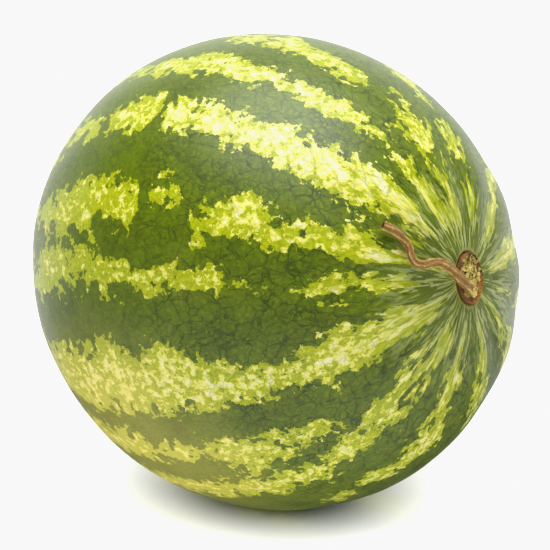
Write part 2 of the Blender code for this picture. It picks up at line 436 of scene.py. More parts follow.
def oval_radius(tree, given, way):
    """How far the bare oval reaches in a direction, from its widths in the axes it grew in."""
    turned = add(tree, "ShaderNodeVectorRotate", {"Vector": way, "Angle": given["Belly Turn"]},
                 rotation_type="X_AXIS").outputs[0]
    ratios = add(tree, "ShaderNodeCombineXYZ",
                 {"X": given["Length Ratio"], "Y": 1.0, "Z": given["Belly Ratio"]}).outputs[0]
    reach = length(tree, vectors(tree, "DIVIDE", turned, ratios))
    return maths(tree, "DIVIDE", given["Half Width"], reach)


def uneven_radius(tree, given, way, polar, longitude):
    """The oval's radius with soft flutes that spread from the stem end, and broad lumps all over."""
    wave = maths(tree, "COSINE", maths(tree, "MULTIPLY", longitude, FLUTES))
    rise = ramp(tree, polar, 0.1, 0.3, run=SOFT)
    run_out = ramp(tree, polar, 1.1, 0.35, run=SOFT)
    depth = maths(tree, "MULTIPLY", maths(tree, "MULTIPLY", rise, run_out), given["Flute Depth"])
    fluted = maths(tree, "MULTIPLY_ADD", wave, depth, oval_radius(tree, given, way))
    lumps = add(tree, NOISE, {"Vector": way, "Scale": 2.3, "Detail": 1.5, "Roughness": 0.45}).outputs[0]
    return maths(tree, "MULTIPLY_ADD", ramp(tree, lumps, 0.2, 0.8, -1.0), given["Lump Height"], fluted)


def stem_end(tree, given, spot, across, off_axis):
    """How far out the stem end lies: a dimple, a collar round the scar, and the scar's pocket."""
    dimple = ramp(tree, off_axis, 0.034, 0.0, 0.0, 0.0016, SOFTER)
    from_collar = maths(tree, "ABSOLUTE", maths(tree, "SUBTRACT", off_axis, 0.0150))
    collar = ramp(tree, from_collar, 0.0080, 0.0, 0.0, 0.0006, SOFTER)
    skin = maths(tree, "ADD", spot["X"], maths(tree, "SUBTRACT", collar, dimple))
    tip = maths(tree, "MULTIPLY", given["Half Width"], given["Length Ratio"])
    pocket_floor = maths(tree, "SUBTRACT", tip, given["Pocket Depth"])
    oval = add(tree, "ShaderNodeCombineXYZ",
               {"X": 1.0, "Y": given["Scar Width"], "Z": given["Scar Height"]}).outputs[0]
    middle = add(tree, "ShaderNodeCombineXYZ", {"Y": given["Scar Aside"]}).outputs[0]
    from_scar = vectors(tree, "SUBTRACT", across, middle)
    reach = length(tree, vectors(tree, "DIVIDE", from_scar, oval))
    pocket = ramp(tree, reach, 1.07, 1.0, run=SOFT)
    return add(tree, MIX, {0: pocket, 2: skin, 3: pocket_floor}).outputs[0]


def fruit_tree():
    """The fruit's shape as a rule: an oval, flatter through one side, with its two ends shaped."""
    tree = bpy.data.node_groups.new("grown_fruit", "GeometryNodeTree")
    ask_for(tree, "Float", "Half Width", "Length Ratio", "Belly Ratio", "Belly Turn", "Scar Height",
            "Scar Width", "Scar Aside", "Pocket Depth", "Flute Depth", "Lump Height")
    ask_for(tree, "Int", "Segments", "Rings")
    ask_for(tree, "Material", "Rind")
    tree.interface.new_socket(name="Fruit", in_out="OUTPUT", socket_type="NodeSocketGeometry")
    given = add(tree, "NodeGroupInput").outputs
    ball = add(tree, "GeometryNodeMeshUVSphere",
               {"Segments": given["Segments"], "Rings": given["Rings"], "Radius": 1.0}).outputs[0]
    corner = add(tree, "GeometryNodeInputPosition").outputs[0]
    place = add(tree, "ShaderNodeSeparateXYZ", {0: corner}).outputs
    # rings are closer together towards the two ends, where the shape is finer
    even = maths(tree, "ARCCOSINE", place["Z"])
    wave = maths(tree, "SINE", maths(tree, "MULTIPLY", even, 2.0))
    polar = maths(tree, "MULTIPLY_ADD", wave, -0.31, even)
    longitude = maths(tree, "ARCTAN2", place["Y"], place["X"])
    off = maths(tree, "SINE", polar)
    way = add(tree, "ShaderNodeCombineXYZ", {
        "X": maths(tree, "COSINE", polar),
        "Y": maths(tree, "MULTIPLY", maths(tree, "MULTIPLY", off, -1.0), maths(tree, "SINE", longitude)),
        "Z": maths(tree, "MULTIPLY", off, maths(tree, "COSINE", longitude)),
    }).outputs[0]
    outer = scaled(tree, way, uneven_radius(tree, given, way, polar, longitude))
    spot = add(tree, "ShaderNodeSeparateXYZ", {0: outer}).outputs
    across = add(tree, "ShaderNodeCombineXYZ", {"Y": spot["Y"], "Z": spot["Z"]}).outputs[0]
    off_axis = length(tree, across)
    blossom_dimple = ramp(tree, off_axis, 0.016, 0.0, 0.0, 0.0020, SOFTER)
    blossom_end = maths(tree, "ADD", spot["X"], blossom_dimple)
    at_stem = maths(tree, "GREATER_THAN", spot["X"], 0.0)
    out = add(tree, MIX, {0: at_stem, 2: blossom_end, 3: stem_end(tree, given, spot, across, off_axis)})
    shaped = add(tree, "ShaderNodeCombineXYZ",
                 {"X": out.outputs[0], "Y": spot["Y"], "Z": spot["Z"]}).outputs[0]
    marked = keep(tree, keep(tree, ball, "polar", polar), "longitude", longitude)
    grown = add(tree, "GeometryNodeSetPosition", {"Geometry": marked, "Position": shaped}).outputs[0]
    hand_over(tree, grown, given["Rind"])
    return tree


def store(mesh, name, values):
    """Keeps one number or vector for each point of a mesh, under a name that its material reads."""
    flat = np.asarray(values, dtype=np.float32)
    kind = "FLOAT_VECTOR" if flat.ndim == 2 else "FLOAT"
    layer = mesh.attributes.new(name, kind, "POINT")
    layer.data.foreach_set("vector" if flat.ndim == 2 else "value", flat.ravel())


def read(mesh, name):
    """The numbers kept for each point of a mesh."""
    values = np.empty(len(mesh.vertices), dtype=np.float32)
    mesh.attributes[name].data.foreach_get("value", values)
    return values


def fade(value, start, end):
    """0 at start and 1 at end, with a soft run between."""
    share = np.clip((value - start) / (end - start), 0, 1)
    return share * share * (3 - 2 * share)


def stripe_depth(polar, longitude, girth):
    """How deep inside the nearest light stripe each point lies, in millimetres around the girth."""
    depth = np.full(polar.shape, -180.0)
    for stations in STRIPES:
        along, centre, half = np.array(stations).T
        away = np.abs((longitude - np.interp(polar, along, centre) + 180) % 360 - 180)
        depth = np.maximum(depth, np.interp(polar, along, half) - away)
    return np.radians(depth) * girth


def grain_table(girth):
    """Where the rind's grain lies for each polar angle: its radius and its travel, in millimetres.

    It follows the surface over the middle of the fruit, and becomes a narrow cylinder at both ends, so
    that every speck there is drawn out into a streak along the fruit.
    """
    angles = np.linspace(0, 180, 721)
    past_stem = (angles + 24 + np.hypot(angles - 24, 9)) / 2
    held = (past_stem + 155 - np.hypot(past_stem - 155, 9)) / 2
    radius = np.sin(np.radians(held)) * girth
    step = math.radians(angles[1]) * girth
    pace = 0.26 + 0.74 * fade(angles, 12, 48) * (1 - 0.45 * fade(angles, 88, 130))
    climb = np.sqrt(np.maximum(pace ** 2 - (np.gradient(radius) / step) ** 2, 0.02))
    return angles, radius, np.cumsum(climb) * step


def direction(polar, longitude):
    """Which way lies at these angles in degrees: along the stem axis, towards -Y, and up."""
    polar, longitude = np.radians(polar), np.radians(longitude)
    off = np.sin(polar)
    return np.stack([np.cos(polar), off * np.sin(longitude), off * np.cos(longitude)], axis=-1)


def mark_rind(mesh, fruit):
    """Stores what the rind's material reads: its grain, stripes, scar's edge and the side it grew on."""
    polar = np.degrees(read(mesh, "polar"))
    longitude = np.degrees(read(mesh, "longitude"))
    turn = np.radians(longitude)
    girth = fruit.half_width / MM
    angles, radius, travel = grain_table(girth)
    around = np.interp(polar, angles, radius)
    along = np.interp(polar, angles, travel)
    store(mesh, "grain", np.stack([np.cos(turn) * around, np.sin(turn) * around, along], axis=1))
    narrowing = np.sin(np.radians(np.clip(polar, 20, 160)))
    store(mesh, "stripe", stripe_depth(polar, longitude, girth) * narrowing)
    nearness = np.clip(direction(polar, longitude) @ direction(*GROUND_SIDE), -1, 1)
    store(mesh, "ground", 1 - fade(np.degrees(np.arccos(nearness)), 10, 52))
    store(mesh, "polar_angle", polar)
    # 1 on the scar's edge, growing outwards, and far above that on the blossom half
    out = np.sin(np.radians(polar)) * girth * fruit.length_ratio
    across = (-np.sin(turn) * out - fruit.scar_aside / MM) / (fruit.scar_width / MM)
    upright = np.cos(turn) * out / (fruit.scar_height / MM)
    store(mesh, "scar_edge", np.hypot(across, upright) + np.where(polar < 90, 0, 100))
    # patches are palest on the upper side and towards the stem
    upper_stripe = np.exp(-((longitude - 34) / 22) ** 2) * fade(polar, 120, 70)
    lower_stripes = np.exp(-((longitude - 118) / 26) ** 2)
    far_side = fade(polar, 70, 98) * (1 - lower_stripes)
    store(mesh, "pale", 0.05 * fade(polar, 100, 45) + 0.09 * upper_stripe + 0.01 * lower_stripes
          - 0.05 * far_side - 0.05)


def vein_net(tree, look, grain, polar):
    """The net of fine dark veins, where it lies, and how it fades towards the far side."""
    drawn = vectors(tree, "MULTIPLY", grain, (1.0, 1.0, 0.72))
    place = warped(tree, warped(tree, drawn, 8.0, 6.5), 2.2, 2.6, 3.0)
    wide = cells(tree, place, look.vein_size, "DISTANCE_TO_EDGE")["Distance"]
    narrow = cells(tree, place, look.vein_size / 2.2, "DISTANCE_TO_EDGE")["Distance"]
    strength = ramp(tree, grains(tree, grain, 11.0), 0.3, 0.62)
    vein = maths(tree, "MULTIPLY", ramp(tree, wide, 0.060, 0.018), ramp(tree, strength, 0.0, 1.0, 0.45, 1.0))
    veinlet = maths(tree, "MULTIPLY", ramp(tree, narrow, 0.085, 0.02, 0.0, 0.65), strength)
    worn = ramp(tree, polar, 105.0, 50.0, 0.28, 1.0, SOFT)
    net = maths(tree, "MULTIPLY", maths(tree, "MAXIMUM", vein, veinlet), worn)
    return net, place, worn


def patch_depth(tree, crumb, stripe, polar, pale):
    """How deep each place lies inside a light patch, in millimetres, with a lobed and crumbled edge."""
    lobe = ramp(tree, grains(tree, crumb, 15.0, 2.0), 0.2, 0.8, -8.5, 8.5)
    crumble = ramp(tree, grains(tree, crumb, 4.6, 3.0, 0.7), 0.2, 0.8, -7.5, 7.5)
    ragged = maths(tree, "ADD", maths(tree, "ADD", stripe, lobe), crumble)
    gaps = maths(tree, "MULTIPLY_ADD", pale, -1.1, grains(tree, crumb, 7.5, 1.0))
    hollow = ramp(tree, gaps, 0.56, 0.68, 0.0, 11.0)
    near_stem = ramp(tree, polar, 15.0, 7.0, 0.0, 5.0, SOFT)
    return maths(tree, "SUBTRACT", maths(tree, "SUBTRACT", ragged, hollow), near_stem)


def patch_colour(tree, look, curd, fleck, net):
    """Light patches: lime at the rims, straw and cream towards the middle, with faint veins."""
    lime_shade = blend(tree, fleck, linear("#7C8800"), look.lime)
    straw_shade = blend(tree, fleck, linear("#BEBC38"), linear("#CCC85A"))
    cream_shade = blend(tree, ramp(tree, curd, 0.61, 0.74), straw_shade, look.cream)
    mottle = blend(tree, ramp(tree, curd, 0.545, 0.575), lime_shade, cream_shade)
    return blend(tree, maths(tree, "MULTIPLY", net, 0.6), mottle, linear("#748200"))


def band_colour(tree, look, inside, clouds, wander, veins):
    """Dark bands: leaf green beside the patches, deeper away from them, cobbled between veins with painted
    highlights.
    """
    net, net_place, worn = veins
    beside = ramp(tree, inside, -22.0, -1.0, 0.0, 0.6)
    warmth = ramp(tree, clouds, 0.35, 0.68, 0.0, 0.7)
    leafy = ramp(tree, maths(tree, "ADD", beside, warmth), 0.0, 1.0)
    band = blend(tree, leafy, look.deep_green, look.leaf_green)
    # painted highlight: lighter specks are partly random tone, and the domed cobbles are painted lighter in
    # their middles as if lit
    granule = ramp(tree, grains(tree, wander, 2.0, 3.0, 0.65), 0.42, 0.72, 0.0, 0.5)
    dome_highlight = ramp(tree, cells(tree, net_place, 1.9)["Distance"], 0.55, 0.1, 0.0, 0.42)
    cobble_tone_and_highlight = maths(tree, "ADD", granule, maths(tree, "MULTIPLY", dome_highlight, worn))
    lit_band = blend(tree, cobble_tone_and_highlight, band, linear("#6C7C00"))
    return blend(tree, maths(tree, "MULTIPLY", net, 0.95), lit_band, look.vein_green)


def stem_end_colour(tree, skin, grain, stripe, polar, fleck):
    """Towards the stem the green turns greyer, pale streaks run out over it, and a pale line of dry
    skin lies round the scar."""
    greyed = ramp(tree, polar, 26.0, 9.0, 0.0, 0.3, SOFT)
    skin = blend(tree, greyed, skin, blend(tree, fleck, linear("#566024"), linear("#6C7434")))
    streaks = grains(tree, grain, 2.6, 3.0, 0.62)
    drawn_out = maths(tree, "MULTIPLY", ramp(tree, polar, 26.0, 11.0, 0.0, 0.72),
                      ramp(tree, stripe, -9.0, 0.0, 0.22, 1.0))
    streak = maths(tree, "MULTIPLY", ramp(tree, streaks, 0.51, 0.56), drawn_out)
    skin = blend(tree, streak, skin, linear("#A8AE6C"))
    halo = ramp(tree, mark(tree, "scar_edge"), 1.24, 1.10, 0.0, 0.75)
    return blend(tree, halo, skin, linear("#A09A4A"))


def ground_side_colour(tree, look, skin, patch, curd, fleck, clouds):
    """The side it grew on has turned straw yellow, bands and patches alike."""
    straw_band = blend(tree, fleck, linear("#7E7F30"), linear("#959040"))
    straw_patch = blend(tree, ramp(tree, curd, 0.53, 0.63), linear("#BCB448"), look.straw)
    straw = blend(tree, patch, straw_band, straw_patch)
    blotch = maths(tree, "MULTIPLY_ADD", clouds, 0.8, mark(tree, "ground"))
    return blend(tree, ramp(tree, blotch, 0.5, 1.4, 0.0, 0.78), skin, straw)


def rind_material(look):
    """Waxy rind of a ripe striped watermelon, grown: a satin cuticle over a green net of veins, with
    crumbled light patches, which the eye reads as crisp colour under a soft, hazy shine."""
    material, tree, shader = new_material("waxy_rind", IOR=1.45, Specular_IOR_Level=0.38)
    grain = mark(tree, "grain", "Vector")
    stripe = mark(tree, "stripe")
    polar = mark(tree, "polar_angle")
    pale = mark(tree, "pale")

    # crumbs are small cells whose outlines wander, so that each has one tone and a crisp edge
    wander = warped(tree, grain, 2.6, 2.4)
    cell = cells(tree, wander, look.crumb_size)["Position"]
    loose = warped(tree, grain, look.crumb_size * 1.6, 1.5, 3.0)
    crumb = add(tree, MIX, {0: 0.3, 4: loose, 5: cell}, data_type="VECTOR").outputs[1]

    veins = vein_net(tree, look, grain, polar)
    net = veins[0]
    inside = patch_depth(tree, crumb, stripe, polar, pale)
    patch = ramp(tree, inside, -0.2, 0.3)
    deeper = ramp(tree, inside, 0.0, 14.0, -0.02, 0.13)
    curd = maths(tree, "ADD", maths(tree, "ADD", grains(tree, crumb, 4.0, 3.0, 0.64), deeper), pale)
    fleck = ramp(tree, grains(tree, wander, 1.5, 2.0, 0.6), 0.3, 0.7)
    clouds = grains(tree, grain, 26.0, 3.0, 0.6)
    skin = blend(tree, patch, band_colour(tree, look, inside, clouds, wander, veins),
                 patch_colour(tree, look, curd, fleck, net))
    skin = stem_end_colour(tree, skin, grain, stripe, polar, fleck)
    skin = ground_side_colour(tree, look, skin, patch, curd, fleck, clouds)
    tree.links.new(skin, shader.inputs["Base Color"])

    dents = maths(tree, "MULTIPLY_ADD", net, -0.35, grains(tree, grain, 2.6, 2.0))
    roughen(tree, shader, dents, 0.35, 0.2)
    gloss = ramp(tree, grains(tree, grain, 0.8, 2.0), 0.3, 0.7, 0.36, 0.46)
    tree.links.new(gloss, shader.inputs["Roughness"])
    return material


def grow_rind(fruit, look):
    """The whole fruit, laid down on its flat spot, in place of its solid."""
    sizes = {
        "Half Width": fruit.half_width,
        "Length Ratio": fruit.length_ratio,
        "Belly Ratio": fruit.belly_ratio,
        "Belly Turn": fruit.belly_turn,
        "Scar Height": fruit.scar_height,
        "Scar Width": fruit.scar_width,
        "Scar Aside": fruit.scar_aside,
        "Pocket Depth": fruit.pocket_depth,
        "Flute Depth": fruit.flute_depth,
        "Lump Height": fruit.lump_height,
        "Segments": 384,
        "Rings": 250,
        "Rind": rind_material(look),
    }
    mesh = grow("rind", fruit_tree(), sizes)
    mesh.transform(resting_place(fruit))
    for vertex in mesh.vertices:
        vertex.co.z = max(vertex.co.z, 0)
    mark_rind(mesh, fruit)
    return finish_piece("rind", mesh, "rind", "melon")


def build_room(look, towards_camera):
    """The light of the room by direction: a bright wall behind the fruit and pale floor under it, with
    nothing but the dark side of the room behind the camera."""
    world = bpy.data.worlds.new("room")
    world.use_nodes = True
    tree = world.node_tree
    tree.nodes.clear()
    away = add(tree, "ShaderNodeTexCoord").outputs["Generated"]
    facing = add(tree, VECTOR_MATH, {0: away, 1: towards_camera}, operation="DOT_PRODUCT").outputs["Value"]
    rise = add(tree, "ShaderNodeSeparateXYZ", {0: away}).outputs["Z"]
    # the wall ends where the floor in the fruit's own shadow begins
    wall = maths(tree, "MULTIPLY", ramp(tree, facing, -0.15, -0.85, 0.0, look.back_wall, SOFT),
                 ramp(tree, rise, -0.31, -0.50, 1.0, 0.06, SOFT))
    in_front = ramp(tree, facing, -0.65, 0.0, 0.04, 1.0, SOFT)
    lit_floor = maths(tree, "MULTIPLY", in_front, look.floor_glow)
    ground = ramp(tree, rise, -0.14, -0.55, look.near_wall, lit_floor)
    glow = maths(tree, "MAXIMUM", wall, ground)
    light = add(tree, "ShaderNodeBackground", {"Color": (1, 1, 1, 1), "Strength": glow})
    add(tree, "ShaderNodeOutputWorld", {"Surface": light.outputs[0]})
    bpy.context.scene.world = world


def smooth_between(stations, share):
    """The value at a share of the way along evenly spaced stations, without kinks."""
    spot = min(max(share, 0), 1) * (len(stations) - 1)
    i = min(int(spot), len(stations) - 2)
    t = spot - i
    before, start, end, after = (stations[min(max(k, 0), len(stations) - 1)] for k in range(i - 1, i + 3))
    return (start * 2 + (end - before) * t + (before * 2 - start * 5 + end * 4 - after) * t ** 2
            + (start * 3 - before - end * 3 + after) * t ** 3) * 0.5


def stem_tube(tree, given):
    """A tube along the stem's way, as thick as the way says, that knows where each point lies."""
    line = add(tree, "GeometryNodeMeshToCurve", {0: given["Way"]}).outputs[0]
    along = add(tree, "GeometryNodeSplineParameter").outputs["Factor"]
    tangent = add(tree, "GeometryNodeInputTangent").outputs[0]
    line = keep(tree, line, "along", along)
    line = keep(tree, line, "ahead", tangent, "FLOAT_VECTOR")
    ring = add(tree, "GeometryNodeCurvePrimitiveCircle", {"Resolution": 72, "Radius": 1.0}).outputs[0]
    around = add(tree, "GeometryNodeSplineParameter").outputs["Factor"]
    ring = keep(tree, ring, "around", around)
    thickness = maths(tree, "MULTIPLY", kept(tree, "swell"), given["Radius"])
    return add(tree, "GeometryNodeCurveToMesh", {
        "Curve": line, "Profile Curve": ring, "Scale": thickness, "Fill Caps": True,
    }).outputs[0]


def stem_ridges(tree, given, full_turns):
    """Ridges that run along the tube, turn around it and waver a little: 0 in a furrow, 1 on a crest."""
    ridge_turns = maths(tree, "MULTIPLY", full_turns, given["Ridges"])
    place = add(tree, "GeometryNodeInputPosition").outputs[0]
    drift = add(tree, NOISE, {"Vector": place, "Scale": 90.0, "Detail": 2.0}).outputs[0]
    wavering = maths(tree, "MULTIPLY_ADD", drift, 7.0, ridge_turns)
    phase = maths(tree, "MULTIPLY_ADD", kept(tree, "along"), given["Twist"], wavering)
    wave = maths(tree, "COSINE", phase)
    return maths(tree, "POWER", maths(tree, "MULTIPLY_ADD", wave, 0.5, 0.5), 1.7)


def stem_roughness(tree, given, full_turns):
    """Wrinkles that are long along the stem, and a slower noise that makes it knobbly."""
    along = kept(tree, "along")
    turned = maths(tree, "MULTIPLY_ADD", along, maths(tree, "DIVIDE", given["Twist"], given["Ridges"]),
                   full_turns)
    wrinkle_place = add(tree, "ShaderNodeCombineXYZ", {
        "X": maths(tree, "COSINE", turned),
        "Y": maths(tree, "SINE", turned),
        "Z": maths(tree, "MULTIPLY", along, 7.0),
    }).outputs[0]
    wrinkles = add(tree, NOISE, {"Vector": wrinkle_place, "Scale": 5.0, "Detail": 4.0, "Roughness": 0.65})
    place = add(tree, "GeometryNodeInputPosition").outputs[0]
    knobs = add(tree, NOISE, {"Vector": place, "Scale": 260.0, "Detail": 2.0})
    wrinkled = maths(tree, "MULTIPLY", maths(tree, "SUBTRACT", wrinkles.outputs[0], 0.5), 0.34)
    knobbly = maths(tree, "MULTIPLY", maths(tree, "SUBTRACT", knobs.outputs[0], 0.5), 0.42)
    return maths(tree, "ADD", wrinkled, knobbly)


def stem_tree():
    """The stem's rule: a ridged, twisted and wrinkled tube along a line, with its cut tip sunk in."""
    tree = bpy.data.node_groups.new("dried_tendril", "GeometryNodeTree")
    ask_for(tree, "Geometry", "Way")
    ask_for(tree, "Float", "Radius", "Ridge Height", "Twist")
    ask_for(tree, "Int", "Ridges")
    ask_for(tree, "Material", "Bark")
    tree.interface.new_socket(name="Stem", in_out="OUTPUT", socket_type="NodeSocketGeometry")
    given = add(tree, "NodeGroupInput").outputs
    tube = stem_tube(tree, given)
    full_turns = maths(tree, "MULTIPLY", kept(tree, "around"), 2 * math.pi)
    crest = stem_ridges(tree, given, full_turns)
    ridge = maths(tree, "MULTIPLY", maths(tree, "SUBTRACT", crest, 0.4), given["Ridge Height"])
    relief = maths(tree, "ADD", ridge, stem_roughness(tree, given, full_turns))
    outwards = add(tree, "GeometryNodeInputNormal").outputs[0]
    swollen = scaled(tree, outwards, maths(tree, "MULTIPLY", relief, given["Radius"]))
    sunk = ramp(tree, kept(tree, "along"), 0.972, 1.0, 0.0, -0.0042)
    back = scaled(tree, kept(tree, "ahead", "FLOAT_VECTOR"), sunk)
    shift = vectors(tree, "ADD", swollen, back)
    shaped = add(tree, "GeometryNodeSetPosition", {"Geometry": tube, "Offset": shift}).outputs[0]
    hand_over(tree, keep(tree, shaped, "ridge", crest), given["Bark"])
    return tree


def stem_material():
    """Dried stem, shrunk by drying in the air: matt brown skin with straw-coloured ridges lit by painted
    highlights and furrows darkened by painted shade, which the eye reads as a tough, fibrous cord."""
    material, tree, shader = new_material("dried_stem_skin", IOR=1.4, Roughness=0.72, Specular_IOR_Level=0.3)
    ridge = mark(tree, "ridge")
    along = mark(tree, "along")
    turn = maths(tree, "MULTIPLY", mark(tree, "around"), 2 * math.pi)
    fibre_place = add(tree, "ShaderNodeCombineXYZ", {
        "X": maths(tree, "COSINE", turn),
        "Y": maths(tree, "SINE", turn),
        "Z": maths(tree, "MULTIPLY", along, 6.0),
    }).outputs[0]
    fibres = grains(tree, fibre_place, 1 / 9, 4.0, 0.7)
    place = add(tree, "ShaderNodeTexCoord").outputs["Object"]
    blotches = grains(tree, place, 3.2 * MM, 3.0, 0.6)
    fibre = ramp(tree, fibres, 0.34, 0.66)
    skin = blend(tree, fibre, linear("#684A22"), linear("#94703C"))
    skin = blend(tree, ramp(tree, blotches, 0.5, 0.66, 0.0, 0.5), skin, linear("#A88B50"))
    # painted shade: the furrows between the ridges are darkened
    furrow = maths(tree, "MULTIPLY", ramp(tree, ridge, 0.14, 0.0, 0.0, 0.75), ramp(tree, fibres, 0.62, 0.42))
    skin = blend(tree, furrow, skin, linear("#4A2C18"))
    # painted highlight along the crests of the ridges, over their straw tone
    crest = maths(tree, "MULTIPLY", ramp(tree, ridge, 0.72, 0.97),
                  ramp(tree, blotches, 0.40, 0.58, 0.1, 0.8))
    skin = blend(tree, crest, skin, linear("#C2A65A"))
    # the cut tip is painted near black: partly its dark cut face, partly painted shade in the hollow where
    # the tip is sunk in
    cut = ramp(tree, along, 0.968, 0.985)
    skin = blend(tree, cut, skin, blend(tree, fibre, linear("#1E120A"), linear("#6A4C2C")))
    tree.links.new(skin, shader.inputs["Base Color"])
    roughen(tree, shader, fibres, 0.5, 0.25)
    return material


def stem_way(fruit):
    """A line along the stem's way that carries the stem's thickness and starts sunk in the scar."""
    tip = fruit.half_width * fruit.length_ratio
    way = [Vector((tip + out * MM, -aside * MM, up * MM)) for out, aside, up in STEM_WAY]
    steps = 260
    shares = [i / (steps - 1) for i in range(steps)]
    points = [smooth_between(way, share) for share in shares]
    points[0].x -= 1.0 * MM
    mesh = bpy.data.meshes.new("stem_way")
    mesh.from_pydata(points, [(i, i + 1) for i in range(steps - 1)], [])
    # the foot flares, and the cut tip closes
    flare = [1 + 0.15 * math.exp(-share / 0.03) for share in shares]
    closing = [1 - 0.82 * fade(share, 0.966, 1.0) for share in shares]
    swell = [smooth_between(STEM_SWELL, share) * a * b for share, a, b in zip(shares, flare, closing)]
    store(mesh, "swell", swell)
    return bpy.data.objects.new("stem_way", mesh)


def grow_stem(fruit, look):
    """The dried stem along its listed way, in place of its solid."""
    sizes = {
        "Radius": look.radius,
        "Ridge Height": look.ridge_share,
        "Twist": look.twist,
        "Ridges": look.ridges,
        "Bark": stem_material(),
    }
    stem = grow("stem", stem_tree(), sizes, stem_way(fruit))
    stem.transform(resting_place(fruit))
    return finish_piece("stem", stem, "stem", "dried_stem")


def torn_plates(y, z):
    """The plates of the torn flesh at a place: 0 in a seam between two plates rising to 1 inside one,
    and that plate's own tone."""
    spot = Vector((y, z, 0)) * 0.6
    drift = Vector([noise.noise(spot + Vector((0, 0, 5.5 * k))) for k in range(3)])
    near, middles = noise.voronoi(Vector((y * 0.31, z * 0.19, 7)) + drift * 0.35)
    seam = min((near[1] - near[0]) / 0.26, 1)
    return seam, noise.noise(middles[0] * 7.3)


def cork_rim(share, turn):
    """How high the cork stands around the scar, in millimetres: a lumpy ridge with radial cracks."""
    rim = math.exp(-((share - 0.95) / 0.045) ** 2)
    lump = noise.noise(Vector((math.cos(turn), math.sin(turn), 0.3)) * 4.5)
    crack = max(0, 1 - abs(noise.noise(Vector((math.cos(turn), math.sin(turn), 2)) * 6)) / 0.10)
    return rim * (0.75 + 0.35 * lump - 0.35 * crack)


def scar_relief(y, z, share, turn):
    """The scar at a place in millimetres from its middle, and at its share of the way to the edge: the
    height over the scar's level, and the shares of torn flesh, pit, bright plate and warm cork."""
    spot = Vector((y, z, 0))
    seam, plate = torn_plates(y, z)
    height = cork_rim(share, turn) + 0.3 * noise.noise(spot * 1.1) + 0.2 * noise.noise(spot * 2.3)
    # the cork is broader and warmer low down on one side
    warm = max(0, math.cos(turn + 2.3)) ** 2
    open_to = 0.93 + 0.12 * noise.noise(spot * 0.35) - 0.22 * warm
    inner = 1 - fade(share, open_to - 0.06, open_to + 0.06)
    height += inner * ((0.35 + 0.75 * plate) * seam - 0.75 * (1 - seam) - 0.15)
    pit = 0
    for number, (pit_y, pit_z, wide, tall, deep) in enumerate(SCAR_PITS):
        reach = math.hypot((y - pit_y) / wide, (z - pit_z) / tall)
        collar = math.exp(-((reach - 1.25) / 0.28) ** 2)
        hole = 1 - fade(reach, 0.75, 1.1)
        height += 0.5 * collar - deep * hole
        pit = max(pit, hole)
        # the first pit shows bright flesh, and the others are painted dark with shade in their holes
        plate = max(plate, hole) if number == 0 else min(plate, 1 - 2 * hole)
    return height, inner * (0.35 + 0.65 * seam), pit, plate, warm


def scar_material():
    """Stem scar, healed to cork round a torn middle: a rough red-brown rim, pale straw fibre plates and pits
    darkened by painted shade, which the eye reads as woody and broken beside the smooth rind."""
    material, tree, shader = new_material("healed_cork", IOR=1.4, Roughness=0.78, Specular_IOR_Level=0.3)
    plate = mark(tree, "plate")
    place = add(tree, "ShaderNodeTexCoord").outputs["Object"]
    specks = grains(tree, place, 0.9 * MM, 3.0, 0.65)
    clouds = grains(tree, place, 4.0 * MM, 2.0, 0.5)
    long_place = add(tree, "ShaderNodeMapping", {"Vector": place, "Scale": (1.0, 2.6, 0.7)}).outputs[0]
    fibres = grains(tree, long_place, 0.8 * MM, 3.0, 0.7)
    cork = blend(tree, ramp(tree, specks, 0.36, 0.64), linear("#3A2610"), linear("#6A4C28"))
    warmed = maths(tree, "MULTIPLY", mark(tree, "warm"), ramp(tree, specks, 0.3, 0.6, 0.1, 0.8))
    warmth = maths(tree, "ADD", ramp(tree, clouds, 0.45, 0.62, 0.0, 0.3), warmed)
    cork = blend(tree, warmth, cork, linear("#94642C"))
    flesh = blend(tree, ramp(tree, fibres, 0.36, 0.60), linear("#8C7A30"), linear("#CEC070"))
    flesh = blend(tree, ramp(tree, plate, 0.06, -0.16, 0.0, 0.85), flesh, linear("#80582C"))
    shade = blend(tree, ramp(tree, mark(tree, "torn"), 0.42, 0.72), cork, flesh)
    # painted shade: the pits are coloured near black, save the first, which shows bright flesh
    hollow = blend(tree, ramp(tree, plate, 0.3, 0.8), linear("#2A180A"), linear("#A89A14"))
    shade = blend(tree, ramp(tree, mark(tree, "pit"), 0.35, 0.8), shade, hollow)
    tree.links.new(shade, shader.inputs["Base Color"])
    roughen(tree, shader, specks, 0.45, 0.25)
    return material


